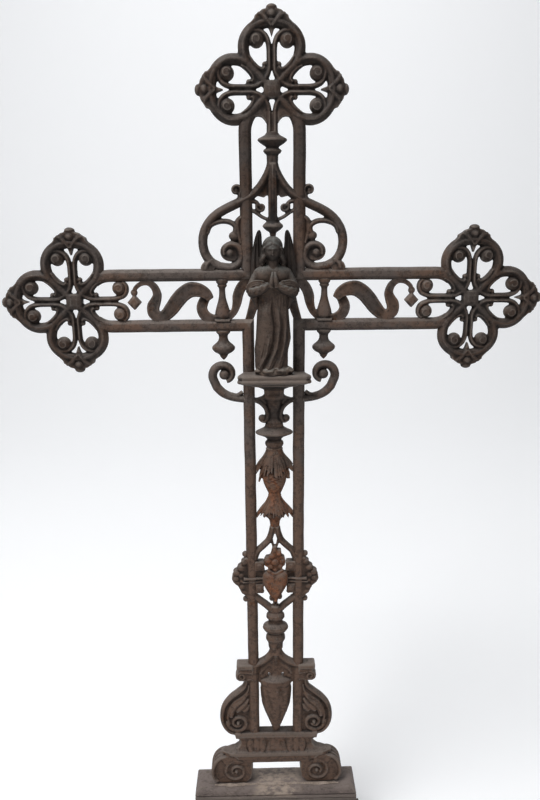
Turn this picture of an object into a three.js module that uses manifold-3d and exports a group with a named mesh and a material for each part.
// A cast iron grave cross: paired rails with quatrefoil ends, scrollwork between and beside them,
// a praying angel on a console at the crossing, and a moulded plinth.
// Millimetres, +Z up, the front faces -Y. The origin is on the ground under the middle of the plinth.
import * as THREE from 'three';
import { mergeVertices } from 'three/addons/utils/BufferGeometryUtils.js';
import Module from 'manifold-3d';

const wasm = await Module();
wasm.setup();

// Rails and thickness
const railHalfWidth = 10;
const railHalfDepth = 9;
const scrollHalfDepth = 8;
const fit = 0.3; // clearance between separate castings

// Plan of the cross, from the middle of the crossing
const shaftHalf = 43; // to the middle line of an upright rail
const armHalf = 42; // to the middle line of a crossbar rail
const armReach = 330; // to the centre of a side quatrefoil
const headRise = 324; // to the centre of the top quatrefoil
const balusterReach = 85;

// Heights of the ornaments in the shaft, each counted from the one above
const shelfDrop = 121; // crossing to the top of the console
const consoleToDisc = 109;
const discToSheaf = 36;
const sheafTier = 90;
const sheafSkirt = 44;
const sheafToHeart = 115;
const heartToCollar = 68;
const collarToHood = 107;
const hoodToTransom = 158;
const transomToSlab = 41;
const slabToPlinth = 73;

// Plinth, cast as one block
const plinthHalfWidth = 160;
const plinthHalfDepth = 32;
const plinthShift = -2; // it stands a little off the middle
const ovoloRadius = 14;
const fasciaHeight = 94;
const coveRadius = 18;
const stepOut = 28;
const stepHeight = 25;

// The angel
const angelHeight = 223;
const angelForward = 27; // its middle in front of the rails

// Levels worked out from the values above, measured from the crossing
const shelfTop = -shelfDrop;
const discLevel = shelfTop - consoleToDisc;
const sheafTop = discLevel - discToSheaf;
const sheafWaist = sheafTop - sheafTier;
const sheafEnd = sheafWaist - sheafSkirt;
const heartLevel = sheafEnd - sheafToHeart;
const collarLevel = heartLevel - heartToCollar;
const hoodLevel = collarLevel - collarToHood;
const transomTop = hoodLevel - hoodToTransom;
const slabTop = transomTop - transomToSlab;
const plinthTop = slabTop - slabToPlinth;
const plinthHeight = ovoloRadius + fasciaHeight + coveRadius + stepHeight;
const crossingHeight = plinthHeight - plinthTop;
const railInner = shaftHalf - railHalfWidth;
const railOuter = shaftHalf + railHalfWidth;
const armInner = armHalf - railHalfWidth;
const armOuter = armHalf + railHalfWidth;

// Sections of the bars, as shares of half the width and half the depth
const lozenge = [[1, 0], [0, 1], [-1, 0], [0, -1]];
const ridge = [[1, 0.5], [-1, 0.5], [0, -1]];
const flatFaced = [[1, 0], [0.5, 1], [-0.5, 1], [-1, 0], [-0.5, -1], [0.5, -1]];
const strap = [[1, 1], [-1, 1], [-1, -1], [1, -1]];

const sides = [-1, 1];
const radians = THREE.MathUtils.degToRad;

// A closed mesh as a solid
function solid(geometry) {
  const bare = geometry.clone();
  bare.deleteAttribute('normal');
  bare.deleteAttribute('uv');
  const merged = mergeVertices(bare, 1e-3);
  return new wasm.Manifold(new wasm.Mesh({
    numProp: 3,
    vertProperties: merged.attributes.position.array,
    triVerts: Uint32Array.from(merged.index.array),
  }));
}

function join(parts) {
  return parts.reduce((whole, part) => whole.add(part));
}

function asGeometry(whole) {
  const mesh = whole.getMesh();
  const geometry = new THREE.BufferGeometry();
  geometry.setAttribute('position', new THREE.BufferAttribute(mesh.vertProperties, 3));
  geometry.setIndex(new THREE.BufferAttribute(mesh.triVerts, 1));
  geometry.computeVertexNormals();
  return geometry;
}

// Points of an arc in the plane of the cross, angles in degrees
function arc(x, z, radius, from, to, steps) {
  return Array.from({ length: steps + 1 }, (_, i) => {
    const angle = radians(from + ((to - from) * i) / steps);
    return [x + radius * Math.cos(angle), z + radius * Math.sin(angle)];
  });
}

// Points of a spiral whose radius runs evenly from one value to another
function spiral(x, z, radii, angles, steps) {
  return Array.from({ length: steps + 1 }, (_, i) => {
    const share = i / steps;
    const angle = radians(angles[0] + (angles[1] - angles[0]) * share);
    const radius = radii[0] + (radii[1] - radii[0]) * share;
    return [x + radius * Math.cos(angle), z + radius * Math.sin(angle)];
  });
}

// A smooth line through a few points
function smooth(points, steps) {
  const curve = new THREE.SplineCurve(points.map(([x, z]) => new THREE.Vector2(x, z)));
  return curve.getPoints(steps).map((point) => [point.x, point.y]);
}

// A width that changes evenly between a few stops of share and value
function graded(stops) {
  return (share) => {
    const next = Math.max(1, stops.findIndex(([at]) => at >= share));
    const [a, b] = [stops[next - 1], stops[next]];
    return THREE.MathUtils.mapLinear(share, a[0], b[0], a[1], b[1]);
  };
}

// A section carried along a line in the plane of the cross, mitred at each point
function bar(path, section, halfWidth, halfDepth, forward = 0) {
  const steps = path.length - 1;
  const points = path.map(([x, z]) => new THREE.Vector2(x, z));
  const stations = points.map((point, i) => {
    const before = points[Math.max(i, 1)].clone().sub(points[Math.max(i, 1) - 1]).normalize();
    const j = Math.min(i, steps - 1);
    const after = points[j + 1].clone().sub(points[j]).normalize();
    const along = before.clone().add(after).normalize();
    return { point, along, stretch: 1 / along.dot(after) };
  });
  const outline = new THREE.Shape(section.map(([x, y]) => new THREE.Vector2(x, y)));
  const geometry = new THREE.ExtrudeGeometry(outline, { depth: 1, steps, bevelEnabled: false });
  const position = geometry.attributes.position;
  for (let i = 0; i < position.count; i += 1) {
    const share = position.getZ(i);
    const { point, along, stretch } = stations[Math.round(share * steps)];
    const width = typeof halfWidth === 'function' ? halfWidth(share) : halfWidth;
    const offset = position.getX(i) * width * stretch;
    position.setXYZ(
      i,
      point.x + along.y * offset,
      position.getY(i) * halfDepth - forward,
      point.y - along.x * offset,
    );
  }
  return solid(geometry);
}

// A bar that ends in a rounded eye: the last two points are the eye's middle and its far side
function curled(path, section, halfWidth, eye, halfDepth) {
  const last = path.length - 1;
  const width = (share) => {
    const i = Math.round(share * last);
    if (i === last) return 0.4 * eye;
    return i === last - 1 ? eye : halfWidth;
  };
  return bar(path, section, width, halfDepth);
}

// A flat piece cut to an outline in the plane of the cross, with bevelled edges if asked
function plate(outline, halfDepth, bevel = 0, forward = 0) {
  const shape = Array.isArray(outline)
    ? new THREE.Shape(outline.map(([x, z]) => new THREE.Vector2(x, z)))
    : outline;
  const geometry = new THREE.ExtrudeGeometry(shape, {
    depth: 2 * (halfDepth - bevel),
    curveSegments: 3,
    bevelEnabled: bevel > 0,
    bevelSegments: 1,
    bevelThickness: bevel,
    bevelSize: bevel,
    bevelOffset: -bevel,
  });
  geometry.rotateX(Math.PI / 2);
  geometry.translate(0, halfDepth - bevel - forward, 0);
  return solid(geometry);
}

// The same points on the other side of the cross where the side is negative
function mirrored(side, points) {
  return points.map(([x, z]) => [side * x, z]);
}

// A turned piece about an upright axis, as radius and height pairs from the bottom up
function turned(profile, around, x = 0, depthShare = 1, forward = 0, flute = 0) {
  const ends = [[0, profile[0][1]], ...profile, [0, profile[profile.length - 1][1]]];
  const geometry = new THREE.LatheGeometry(ends.map(([r, z]) => new THREE.Vector2(r, z)), around);
  const position = geometry.attributes.position;
  for (let i = 0; i < position.count; i += 1) {
    const column = Math.floor(i / ends.length) % around;
    const groove = column % 2 === 1 ? 1 - flute : 1;
    position.setX(i, position.getX(i) * groove);
    position.setZ(i, position.getZ(i) * groove * depthShare);
  }
  geometry.rotateX(Math.PI / 2);
  geometry.translate(x, -forward, 0);
  return solid(geometry);
}

// A faceted ball, boss or bud
function ball(x, z, radius, scale = [1, 1, 1], forward = 0) {
  const geometry = new THREE.IcosahedronGeometry(radius, 0);
  geometry.scale(...scale);
  geometry.translate(x, -forward, z);
  return solid(geometry);
}

// A four-sided gem with its points up, down and to the sides
function gem(x, z, radius, depthShare, forward = 0) {
  const geometry = new THREE.OctahedronGeometry(radius, 0);
  geometry.scale(1, depthShare, 1);
  geometry.translate(x, -forward, z);
  return solid(geometry);
}

// A stack of eight-sided levels. Each has a half width, a front, a back and a corner cut, and may
// have a narrower back edge or a side that starts further forward
function moulding(levels) {
  const steps = levels.length - 1;
  const corner = 0.5;
  const plan = [
    [1, corner], [corner, 1], [-corner, 1], [-1, corner],
    [-1, -corner], [-corner, -1], [corner, -1], [1, -corner],
  ];
  const outline = new THREE.Shape(plan.map(([x, y]) => new THREE.Vector2(x, y)));
  const geometry = new THREE.ExtrudeGeometry(outline, { depth: 1, steps, bevelEnabled: false });
  const position = geometry.attributes.position;
  for (let i = 0; i < position.count; i += 1) {
    const { z, halfWidth, front, back, cut, backHalf, sideBack } = levels[Math.round(position.getZ(i) * steps)];
    const [ux, uy] = [position.getX(i), position.getY(i)];
    const atSide = Math.abs(ux) > 0.9;
    const narrow = uy > 0 ? backHalf ?? halfWidth - cut : halfWidth - cut;
    const sideDepth = uy > 0 ? sideBack ?? back - cut / 2 : cut / 2 - front;
    const edgeDepth = uy > 0 ? back : -front;
    position.setXYZ(i, Math.sign(ux) * (atSide ? halfWidth : narrow), atSide ? sideDepth : edgeDepth, z);
  }
  return solid(geometry);
}

// The straight and curved rails of one quarter of the cross, from quatrefoil to quatrefoil or foot
const closingAngle = 128; // where a lobe's ring runs into the spoke between two lobes
const lobeCentre = 60;
const spokeInner = 9;
const spokeOuter = 38;

function rail(side, up) {
  const toArm = arc(lobeCentre, 0, armHalf, closingAngle, 90, 2)
    .map(([u, v]) => [side * (armReach - u), up * v]);
  const corner = [side * shaftHalf, up * armHalf];
  const upper = arc(lobeCentre, 0, shaftHalf, 90, closingAngle, 2)
    .map(([u, v]) => [side * v, headRise - u]);
  const end = up > 0 ? upper : [[side * shaftHalf, transomTop - 4]];
  return bar([...toArm, corner, ...end], flatFaced, railHalfWidth, railHalfDepth);
}

// One lobe of a quatrefoil, drawn outward from the centre and set in its direction
const lobe = {
  ring: 44.5,
  ringHalf: 9,
  stemSide: 4.4,
  stemHalf: 3.8,
  eyeOut: 70.5,
  eyeSide: 17,
  eye: 5.2,
  curl: 10,
  gableHalf: 24,
  gableFoot: 96,
  budOut: 112,
  bud: 8,
};
const bossRadius = 18;

// The two curls that meet on a diagonal of the quatrefoil, as one bar from eye to eye
function curlPair(place, ends) {
  const half = (side, at, whole) => {
    const { stemSide, eyeOut, eyeSide, curl } = lobe;
    const stem = [[29, 5.5 * side], [63, stemSide * side]];
    if (!whole) return [[29, 7.5 * side], [lobeCentre + 2, 8.5 * side]].map(at);
    const over = arc(eyeOut, side * eyeSide, curl, -82 * side, 80 * side, 3);
    return [...stem, ...over, [eyeOut - 1, side * eyeSide], [eyeOut - 3, side * (eyeSide - 4.5)]].map(at);
  };
  const first = half(1, (p) => place(p, 0), ends[0]);
  const second = half(-1, (p) => place(p, 90), ends[1]);
  const path = [...first.reverse(), place([13, 13], 0), ...second];
  const last = path.length - 1;
  const width = (share) => {
    const i = Math.round(share * last);
    const [fromStart, fromEnd] = [i, last - i];
    if ((ends[0] && fromStart === 0) || (ends[1] && fromEnd === 0)) return 2.5;
    if ((ends[0] && fromStart === 1) || (ends[1] && fromEnd === 1)) return lobe.eye;
    return lobe.stemHalf;
  };
  return bar(path, ridge, width, scrollHalfDepth);
}

function lobeFrame(place) {
  const { ring, ringHalf, gableHalf, gableFoot, budOut, bud } = lobe;
  const whole = arc(lobeCentre, 0, ring, -closingAngle, closingAngle, 7);
  const gable = [
    [gableFoot, -gableHalf], [gableFoot + 8, 1 - gableHalf], [budOut - 3, -bud], [budOut + bud, -3],
    [budOut + bud, 3], [budOut - 3, bud], [gableFoot + 8, gableHalf - 1], [gableFoot, gableHalf],
    [86, 0],
  ];
  return [
    bar(whole.map(place), lozenge, ringHalf, scrollHalfDepth),
    plate(gable.map(place), railHalfDepth - 1),
  ];
}

function quatrefoil(x, z, inward) {
  const place = (turn) => ([u, v], extra = 0) => {
    const angle = radians(turn + extra);
    const [c, s] = [Math.cos(angle), Math.sin(angle)];
    return [x + u * c - v * s, z + u * s + v * c];
  };
  const isWhole = (turn) => inward.curls || turn % 360 !== inward.degrees;
  const parts = [0, 90, 180, 270].flatMap((turn) => {
    const spoke = [[spokeOuter, spokeOuter], [spokeInner, spokeInner]].map((p) => place(turn)(p));
    return [
      bar(spoke, lozenge, lobe.ringHalf + 0.5, scrollHalfDepth + 0.5),
      curlPair(place(turn), [isWhole(turn), isWhole(turn + 90)]),
      ...(turn === inward.degrees ? [] : lobeFrame((p) => place(turn)(p))),
    ];
  });
  const boss = new THREE.OctahedronGeometry(bossRadius, 0);
  boss.scale(1, 0.8, 1);
  boss.rotateY(Math.PI / 4);
  boss.translate(x, 0, z);
  return join([...parts, solid(boss)]);
}

// The stem of the head, its disc and ring, and the pointed knob under the arch
function headStem() {
  const discTop = headRise - 58;
  const disc = [
    [8, discTop - 52], [9.5, discTop - 37], [15, discTop - 31], [10, discTop - 26],
    [23.5, discTop - 16], [23.5, discTop - 13], [8.5, discTop],
  ];
  const knobLevel = 118;
  const knob = [[3, knobLevel - 26], [4.5, knobLevel - 9], [17, knobLevel], [7, knobLevel + 9]];
  const stem = [[0, knobLevel + 6], [0, discTop - 48]];
  return [
    turned(disc, 8, 0, 0.7),
    turned(knob, 6, 0, 0.8),
    bar(stem, lozenge, 8, scrollHalfDepth),
  ];
}

// The ogee arch inside the head rails, which runs out into a large scroll on each side
const bracket = {
  crown: 222,
  crossing: 168, // where it passes behind the inner edge of a rail
  reach: 114,
  waist: 84,
  eyeOut: 70,
  eyeUp: 76,
  eye: 5,
};

function headBracket(side) {
  const { crown, crossing, reach, waist, eyeOut, eyeUp, eye } = bracket;
  const run = [
    [3, crown], [7, crown - 16], [17, crossing + 19], [railInner, crossing], [railOuter, crossing - 12],
    [78, crossing - 22], [reach - 13, waist + 45], [reach - 1, waist + 22], [reach, waist],
    [reach - 10, waist - 19], [eyeOut + 12, eyeUp - 21],
  ];
  const volute = spiral(eyeOut, eyeUp, [24, 8.5], [-75, -375], 8);
  const path = [...smooth(run, 10), ...volute, [eyeOut + 1, eyeUp], [eyeOut - 4, eyeUp]];
  const last = path.length - 1;
  const taper = graded([[0, 4.5], [0.15, 6.5], [0.4, 7.5], [0.62, 7], [1, 3]]);
  const width = (share) => (Math.round(share * last) === last - 1 ? eye : taper(share));
  const tendril = [[70, 149], [58, 157], [55, 166], [58, 176], [60, 183]];
  const leaf = [
    [reach - 13, 112], [reach - 24, 125], [74, 129], [59, 122], [57, 112], [62, 103], [67, 99],
  ];
  const heel = [[reach - 10, 70], [reach - 1, 60], [reach - 1, armOuter - 6]];
  return [
    bar(mirrored(side, path), lozenge, width, scrollHalfDepth),
    curled(mirrored(side, tendril), ridge, 3.8, 8.5, 6),
    curled(mirrored(side, leaf), ridge, 4.5, 8, 7),
    bar(mirrored(side, heel), ridge, 6, 6),
  ];
}

// Small leaf curls under the arch
function archLeaf(side) {
  const stalk = [[railInner + 4, 153], [29, 152], [19.5, 149.5], [12, 147]];
  return curled(mirrored(side, stalk), ridge, 4, 8, 6);
}

// The folded ribbon between the crossbar rails, from the tip gem to behind the angel
function ribbon(side) {
  const tip = armReach - 98;
  const foldAt = balusterReach + 24;
  const outer = [
    [tip - 1, 7], [tip - 9, 27], [tip - 25, 28], [tip - 36, 12],
    [tip - 32, -19], [tip - 43, -28], [tip - 57, -18],
    [foldAt + 45, 5], [foldAt + 30, 19], [foldAt + 11, 17], [foldAt + 1, 4],
  ];
  const inner = [
    [foldAt, 10], [foldAt + 11, -12], [foldAt + 5, -27],
    [balusterReach + 8, -33], [balusterReach - 12, -27], [balusterReach - 21, -8],
    [balusterReach - 30, 18], [shaftHalf - 6, 31], [shaftHalf - 21, 27],
  ];
  const fall = [[shaftHalf - 23, 27], [shaftHalf - 12, -2], [shaftHalf + 2, -36]];
  const outerWidth = graded([[0, 3.5], [0.2, 6.5], [0.5, 8.5], [0.75, 10.5], [0.9, 12], [1, 9]]);
  const innerWidth = graded([[0, 9], [0.3, 8.5], [0.5, 7], [1, 6.5]]);
  return [
    bar(mirrored(side, outer), strap, outerWidth, 4),
    bar(mirrored(side, inner), strap, innerWidth, 3.4),
    bar(mirrored(side, fall), strap, 6, 3),
    gem(side * tip, -2, 14, 0.6),
  ];
}

// The baluster between the crossbar rails and the turned drop under it
function baluster(side) {
  const belly = [[9, -armInner - 1], [12.5, -25], [11, -16], [5, 3], [6.5, 20], [8.5, armInner + 1]];
  const bottom = -armOuter;
  const drop = [
    [1, bottom - 50], [6, bottom - 41], [14, bottom - 36], [19.5, bottom - 28],
    [17, bottom - 23], [7, bottom - 12], [8.5, bottom + 2],
  ];
  return [
    turned(belly, 6, side * balusterReach, 0.75),
    turned(drop, 7, side * balusterReach, 0.75),
  ];
}

// The console that carries the angel, with its bowl and neck
const shelf = { halfWidth: 62, front: 45, back: 9, backHalf: 46, sideBack: -32, thickness: 15, cut: 10 };

function consoleStack() {
  const { halfWidth, front, back, backHalf, sideBack, thickness, cut } = shelf;
  const bottom = shelfTop - thickness;
  const rear = { back, backHalf, sideBack };
  return moulding([
    { z: bottom - 30, halfWidth: 16.5, front: 10, back: 9, cut: 5 },
    { z: bottom - 16, halfWidth: 18, front: 12, back: 9, cut: 6 },
    { z: bottom - 9, halfWidth: 32, front: 26, back: 9, cut: 8 },
    { z: bottom - 2, halfWidth: halfWidth - 10, front: front - 8, cut, ...rear },
    { z: bottom, halfWidth: halfWidth - 3, front: front - 2, cut, ...rear },
    { z: bottom + 4, halfWidth, front, cut, ...rear },
    { z: shelfTop, halfWidth: halfWidth - 2, front: front - 1, cut, ...rear },
  ]);
}

function consoleNeck() {
  const profile = [
    [13, sheafTop - 2], [15.5, discLevel - 22], [12, discLevel - 13],
    [railInner + 1.5, discLevel - 1.5], [railInner + 1.5, discLevel + 0.5],
    [16, discLevel + 11], [10.5, discLevel + 22], [12, discLevel + 48],
    [17, shelfTop - 55], [16.5, shelfTop - 48], [16.5, shelfTop - 38],
  ];
  return turned(profile, 8, 0, 0.6);
}

function consoleSide(side) {
  const [eyeOut, eyeUp] = [85, shelfTop - 6];
  const run = [[railOuter - 4, eyeUp - 46], [72, eyeUp - 43], [92, eyeUp - 33]];
  const roll = spiral(eyeOut, eyeUp, [20, 14], [-25, 230], 7);
  const path = [...run, ...roll, [eyeOut, eyeUp], [eyeOut + 5, eyeUp + 3]];
  const last = path.length - 1;
  const taper = graded([[0, 6], [0.3, 8], [0.6, 7], [1, 3.5]]);
  const width = (share) => (Math.round(share * last) === last - 1 ? 7.5 : taper(share));
  const curl = [
    [railInner + 4, shelfTop - 56], [22, shelfTop - 62], [14, shelfTop - 74],
    [19, shelfTop - 86], [24, shelfTop - 91],
  ];
  return [
    bar(mirrored(side, path), lozenge, width, scrollHalfDepth),
    curled(mirrored(side, curl), ridge, 4, 7.5, 6),
  ];
}

// The tied sheaf in two tiers, fluted like its stalks
function sheaf() {
  const reach = railInner + 4;
  const profile = [
    [9, sheafEnd - 2], [22, sheafEnd], [reach - 1, sheafEnd + 9], [reach - 6, sheafWaist - 24],
    [13, sheafWaist], [19, sheafWaist + 18], [reach, sheafWaist + 36], [reach, sheafTop - 40],
    [19, sheafTop - 13], [13.5, sheafTop + 1],
  ];
  return turned(profile, 12, 0, 0.42, 0, 0.2);
}

// The heart under its flames, the ogee legs that carry it, its blocks and the leaves outside
const heart = { halfWidth: 23, top: 18, tip: 38, halfDepth: 14 };

function heartParts() {
  const z = heartLevel;
  const shape = new THREE.Shape();
  shape.moveTo(0, z - heart.tip);
  shape.bezierCurveTo(-10, z - 22, -heart.halfWidth - 1, z - 12, -heart.halfWidth, z + 4);
  shape.quadraticCurveTo(-heart.halfWidth + 1, z + heart.top, -10, z + heart.top);
  shape.lineTo(10, z + heart.top);
  shape.quadraticCurveTo(heart.halfWidth - 1, z + heart.top, heart.halfWidth, z + 4);
  shape.bezierCurveTo(heart.halfWidth + 1, z - 12, 10, z - 22, 0, z - heart.tip);
  const flames = [
    [-12, z + 16], [-10, z + 25], [-19, z + 33], [-17, z + 46], [-7, z + 52], [0, z + 72],
    [5, z + 60], [12, z + 56], [12, z + 49], [19, z + 44], [19, z + 31], [10, z + 25], [12, z + 16],
  ];
  const drop = [[0, z - 32], [0, collarLevel + 2]];
  return [
    plate(shape, heart.halfDepth, 7),
    plate(flames.reverse(), 7),
    bar(drop, lozenge, graded([[0, 5], [1, 3]]), 5),
  ];
}

function heartSide(side) {
  const z = heartLevel;
  const leg = [[3, sheafEnd - 12], [9, sheafEnd - 31], [24, sheafEnd - 50], [shaftHalf - 4, sheafEnd - 74]];
  const link = [[12, sheafEnd - 36], [-2, sheafEnd - 54]];
  const stay = [[shaftHalf - 6, z - 32], [22, z - 49], [9, collarLevel + 3]];
  const boss = [
    [railOuter - 6, z + 50], [railOuter + 4, z + 46], [railOuter + 13, z + 27], [railOuter + 27, z + 3],
    [railOuter + 20, z - 8], [railOuter + 8, z - 32], [railOuter + 3, z - 44], [railOuter - 6, z - 44],
  ];
  const blocks = [z + 28, z - 18].map((level) => {
    const geometry = new THREE.BoxGeometry(railInner - 16, 2 * scrollHalfDepth + 4, 18);
    geometry.translate(side * (railInner - 5), 0, level);
    return solid(geometry);
  });
  return [
    bar(mirrored(side, leg), lozenge, 5.5, 7),
    bar(mirrored(side, link), ridge, 2.8, 4),
    bar(mirrored(side, stay), lozenge, 6.5, 7),
    plate(side > 0 ? boss.reverse() : mirrored(side, boss), 9),
    ...blocks,
  ];
}

// The turned rings and twisted stem below the heart
function lowerStem() {
  const z = collarLevel;
  const profile = [
    [13, hoodLevel + 8], [12, z - 84], [14, z - 66], [18.5, z - 57], [14, z - 47],
    [24.5, z - 36], [23, z - 30], [13, z - 20], [17.5, z - 10], [12, z - 1], [10, z + 6],
  ];
  return turned(profile, 8, 0, 0.75);
}

// The hood over the vase, the vase itself and the capitals beside the rails
const vase = { halfWidth: 29, rim: 44, rimHeight: 8 };

function hoodParts() {
  const top = hoodLevel - vase.rim;
  const floor = transomTop - 2;
  const body = [
    [6, floor], [7, floor + 12], [19, floor + 43], [26.5, floor + 83],
    [vase.halfWidth - 1, top - 2], [vase.halfWidth, top + vase.rimHeight],
  ];
  const web = [
    [-railInner - 2, top - 2], [railInner + 2, top - 2], [railInner + 2, hoodLevel - 2],
    [0, hoodLevel + 10], [-railInner - 2, hoodLevel - 2],
  ];
  return [turned(body, 8, 0, 0.45), plate(web, 3)];
}

const capital = { height: 12, reach: 23, halfDepth: 12 };

function hoodSide(side) {
  const leg = [[3, hoodLevel + 34], [9, hoodLevel + 17], [20, hoodLevel + 4], [shaftHalf - 3, hoodLevel - 10]];
  const outer = railOuter + capital.reach;
  const top = hoodLevel - 5;
  const outline = [
    [shaftHalf, top], [outer - 1, top], [outer - 1, top - capital.height], [outer - 6, top - capital.height - 2],
    [outer + 1, top - 17], [outer + 3, top - 24], [outer - 1, top - 32], [outer - 9, top - 36],
    [shaftHalf, top - 35],
  ];
  return [
    bar(mirrored(side, leg), lozenge, 8, scrollHalfDepth),
    plate(side > 0 ? outline.reverse() : mirrored(side, outline), capital.halfDepth),
  ];
}

// The large brackets that spread from the rails to the transom
function footBracket(side) {
  const [eyeOut, eyeUp] = [75, transomTop + 23];
  const outline = [
    [railOuter - 3, hoodLevel - 40], [railOuter + 9, hoodLevel - 42], [railOuter + 17, hoodLevel - 59],
    [84, hoodLevel - 73], [100, hoodLevel - 89], [109, hoodLevel - 106], [111, transomTop + 28],
    [104, transomTop + 9], [91, transomTop - 4], [railOuter - 3, transomTop - 4],
  ];
  const roll = new THREE.CylinderGeometry(22, 22, 2 * railHalfDepth + 2, 9);
  roll.translate(side * eyeOut, 0, eyeUp);
  return [
    plate(side > 0 ? outline.reverse() : mirrored(side, outline), railHalfDepth - 2),
    solid(roll),
    ball(side * eyeOut, eyeUp, 12, [0.8, 1, 0.8]),
  ];
}

// The transom, its hollow neck and the slab over the feet
const slab = { halfWidth: 109, front: 18.3, back: 10, cut: 20 };

function footStack() {
  const level = (z, halfWidth, front, back = front, cut = 2) => ({ z, halfWidth, front, back, cut });
  const { halfWidth, front, back, cut } = slab;
  return moulding([
    level(slabTop - 25, halfWidth - 30, front - 4, front - 4, 6),
    level(slabTop - 15, halfWidth - 22, front - 2, front - 4, 12),
    level(slabTop - 7, halfWidth - 6, front - 1, back + 1, cut),
    level(slabTop - 6, halfWidth, front, back, cut),
    level(slabTop, halfWidth, front, back, cut),
    level(slabTop + 3, 86, 14, 10, 10),
    level(slabTop + 8, 76, 11, 9),
    level(transomTop - 20, 71, 9),
    level(transomTop - 10, 81, 10.5),
    level(transomTop, 81, 10.5),
  ]);
}

// The rolled feet that stand on the plinth
const foot = { eyeOut: 79, roll: 22, reach: 129, halfDepth: 18 };

function rolledFoot(side) {
  const bottom = plinthTop + fit;
  const { reach } = foot;
  const outline = [
    [48, slabTop - 24], [reach - 24, slabTop - 16], [reach - 9, slabTop - 28], [reach, slabTop - 45],
    [reach - 5, bottom + 11], [reach - 20, bottom], [foot.eyeOut - 18, bottom], [50, bottom + 13],
    [47, bottom + 30],
  ];
  const roll = new THREE.CylinderGeometry(foot.roll, foot.roll, 2 * foot.halfDepth, 10);
  roll.translate(side * foot.eyeOut, 0, bottom + 29);
  return [
    plate(side > 0 ? outline.reverse() : mirrored(side, outline), foot.halfDepth - 3),
    solid(roll),
    gem(side * foot.eyeOut, bottom + 29, 10, 0.5, foot.halfDepth),
  ];
}

function makeCross() {
  const parts = [
    ...sides.flatMap((side) => [rail(side, 1), rail(side, -1)]),
    quatrefoil(armReach, 0, { degrees: 180, curls: true }),
    quatrefoil(-armReach, 0, { degrees: 0, curls: true }),
    quatrefoil(0, headRise, { degrees: 270, curls: false }),
    ...headStem(),
    ...sides.flatMap(headBracket),
    ...sides.map(archLeaf),
    ...sides.flatMap(ribbon),
    ...sides.flatMap(baluster),
    consoleStack(),
    consoleNeck(),
    ...sides.flatMap(consoleSide),
    sheaf(),
    bar([[0, sheafEnd + 6], [0, sheafEnd - 18]], lozenge, 9, 7),
    ...heartParts(),
    ...sides.flatMap(heartSide),
    lowerStem(),
    ...hoodParts(),
    ...sides.flatMap(hoodSide),
    ...sides.flatMap(footBracket),
    footStack(),
    ...sides.flatMap(rolledFoot),
  ];
  return join(parts);
}

// The angel, as shares of its own height, standing on the console. Its limbs taper along their length
function limb(from, to, thickness) {
  const start = new THREE.Vector3(...from);
  const end = new THREE.Vector3(...to);
  const axis = end.clone().sub(start);
  const geometry = new THREE.CylinderGeometry(thickness[1], thickness[0], axis.length(), 6);
  geometry.applyQuaternion(new THREE.Quaternion().setFromUnitVectors(
    new THREE.Vector3(0, 1, 0),
    axis.clone().normalize(),
  ));
  geometry.translate(...start.add(end).multiplyScalar(0.5).toArray());
  return solid(geometry);
}

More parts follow.
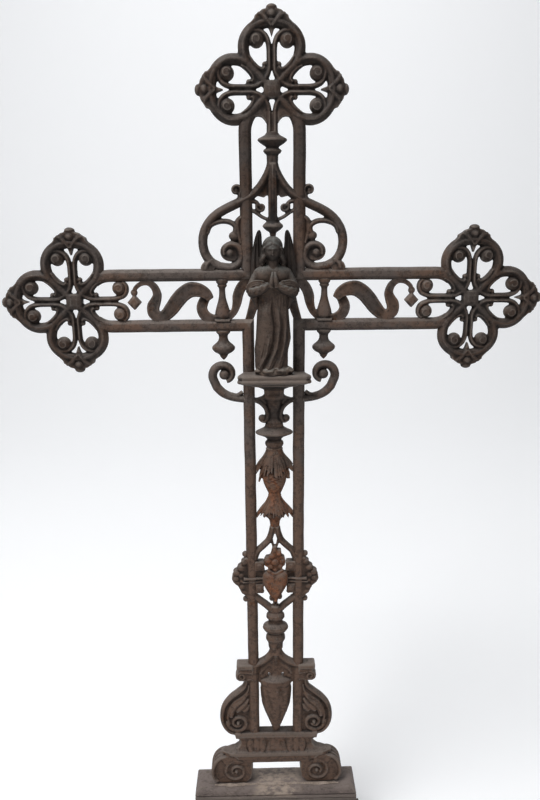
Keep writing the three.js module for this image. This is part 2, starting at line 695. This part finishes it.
function makeAngel() {
  const share = angelHeight / 223;
  const base = shelfTop + fit;
  const at = (x, z, forward = 0) => [x * share, -(angelForward + forward * share), base + z * share];
  const body = [
    [32, 0], [35, 5], [27, 11], [29, 16], [31, 32], [30, 55], [27, 85], [23, 108], [22, 122],
    [27, 142], [31, 156], [30, 168], [22, 175], [10, 180], [9, 188],
  ];
  const bodyLathe = turned(
    body.map(([r, z]) => [r * share, base + z * share]),
    14,
    0,
    0.56,
    angelForward,
    0.1,
  );
  const part = (detail, scale, place) => {
    const geometry = new THREE.OctahedronGeometry(share, detail);
    geometry.scale(...scale);
    geometry.translate(...place);
    return solid(geometry);
  };
  const parts = [
    bodyLathe,
    part(2, [15, 17, 22], at(0, 199, 2)),
    part(1, [19, 16, 19], at(0, 204, -4)),
    part(0, [2.6, 4, 6], at(0, 195, 18)),
    limb(at(0, 141, 21), at(0, 167, 17), [5 * share, 2.5 * share]),
  ];
  const wingDepth = 3 * share;
  const wing = [
    [6, 150], [14, 178], [17, 202], [18, 226], [21, 235], [27, 222], [32, 203], [35, 180], [34, 155],
    [26, 125], [8, 120],
  ];
  sides.forEach((side) => {
    parts.push(limb(at(side * 27, 168), at(side * 34, 133, 6), [10 * share, 12 * share]));
    parts.push(limb(at(side * 36, 131, 5), at(side * 3, 148, 21), [12 * share, 6 * share]));
    parts.push(limb(at(side * 14, 206, 1), at(side * 18, 178, 1), [6 * share, 6.5 * share]));
    const outline = wing.map(([x, z]) => [side * x * share, base + z * share]);
    const forward = railHalfDepth + fit + wingDepth + 1;
    parts.push(plate(side > 0 ? outline.reverse() : outline, wingDepth, 0, forward));
  });
  return join(parts);
}

// The plinth: quarter round, fascia, hollow and spreading step, mitred at the corners
function plinthProfile(half) {
  const top = plinthTop;
  const round = arc(half - ovoloRadius, top - ovoloRadius, ovoloRadius, 90, 0, 4);
  const fasciaFoot = top - ovoloRadius - fasciaHeight;
  const hollow = arc(half + coveRadius, fasciaFoot, coveRadius, 180, 270, 3);
  const floor = fasciaFoot - coveRadius - stepHeight;
  const right = [
    ...round,
    ...hollow,
    [half + stepOut, fasciaFoot - coveRadius],
    [half + stepOut, floor],
  ];
  return [...right, ...right.map(([x, z]) => [-x, z]).reverse()];
}

function makePlinth() {
  const long = 2 * (plinthHalfWidth + stepOut + 10);
  const front = new THREE.Shape(plinthProfile(plinthHalfWidth).map(([x, z]) => new THREE.Vector2(x, z)));
  const along = new THREE.ExtrudeGeometry(front, { depth: long, bevelEnabled: false });
  along.rotateX(Math.PI / 2);
  along.translate(plinthShift, long / 2, 0);
  const end = new THREE.Shape(plinthProfile(plinthHalfDepth).map(([x, z]) => new THREE.Vector2(x, z)));
  const across = new THREE.ExtrudeGeometry(end, { depth: long, bevelEnabled: false });
  across.rotateX(Math.PI / 2);
  across.translate(0, long / 2, 0);
  across.rotateZ(Math.PI / 2);
  across.translate(plinthShift, 0, 0);
  return solid(along).intersect(solid(across));
}

// Materials and assembly
const iron = new THREE.MeshStandardMaterial({ color: 0x4a423c, roughness: 0.62, metalness: 0.7 });
const angelIron = new THREE.MeshStandardMaterial({ color: 0x474440, roughness: 0.58, metalness: 0.7 });
const plinthIron = new THREE.MeshStandardMaterial({ color: 0x5a524b, roughness: 0.72, metalness: 0.5 });

function piece(name, whole, material) {
  const mesh = new THREE.Mesh(asGeometry(whole), material);
  mesh.name = name;
  mesh.position.z = crossingHeight;
  return mesh;
}

const group = new THREE.Group();
group.add(piece('plinth', makePlinth(), plinthIron));
group.add(piece('cross', makeCross(), iron));
group.add(piece('angel', makeAngel(), angelIron));

export default group;
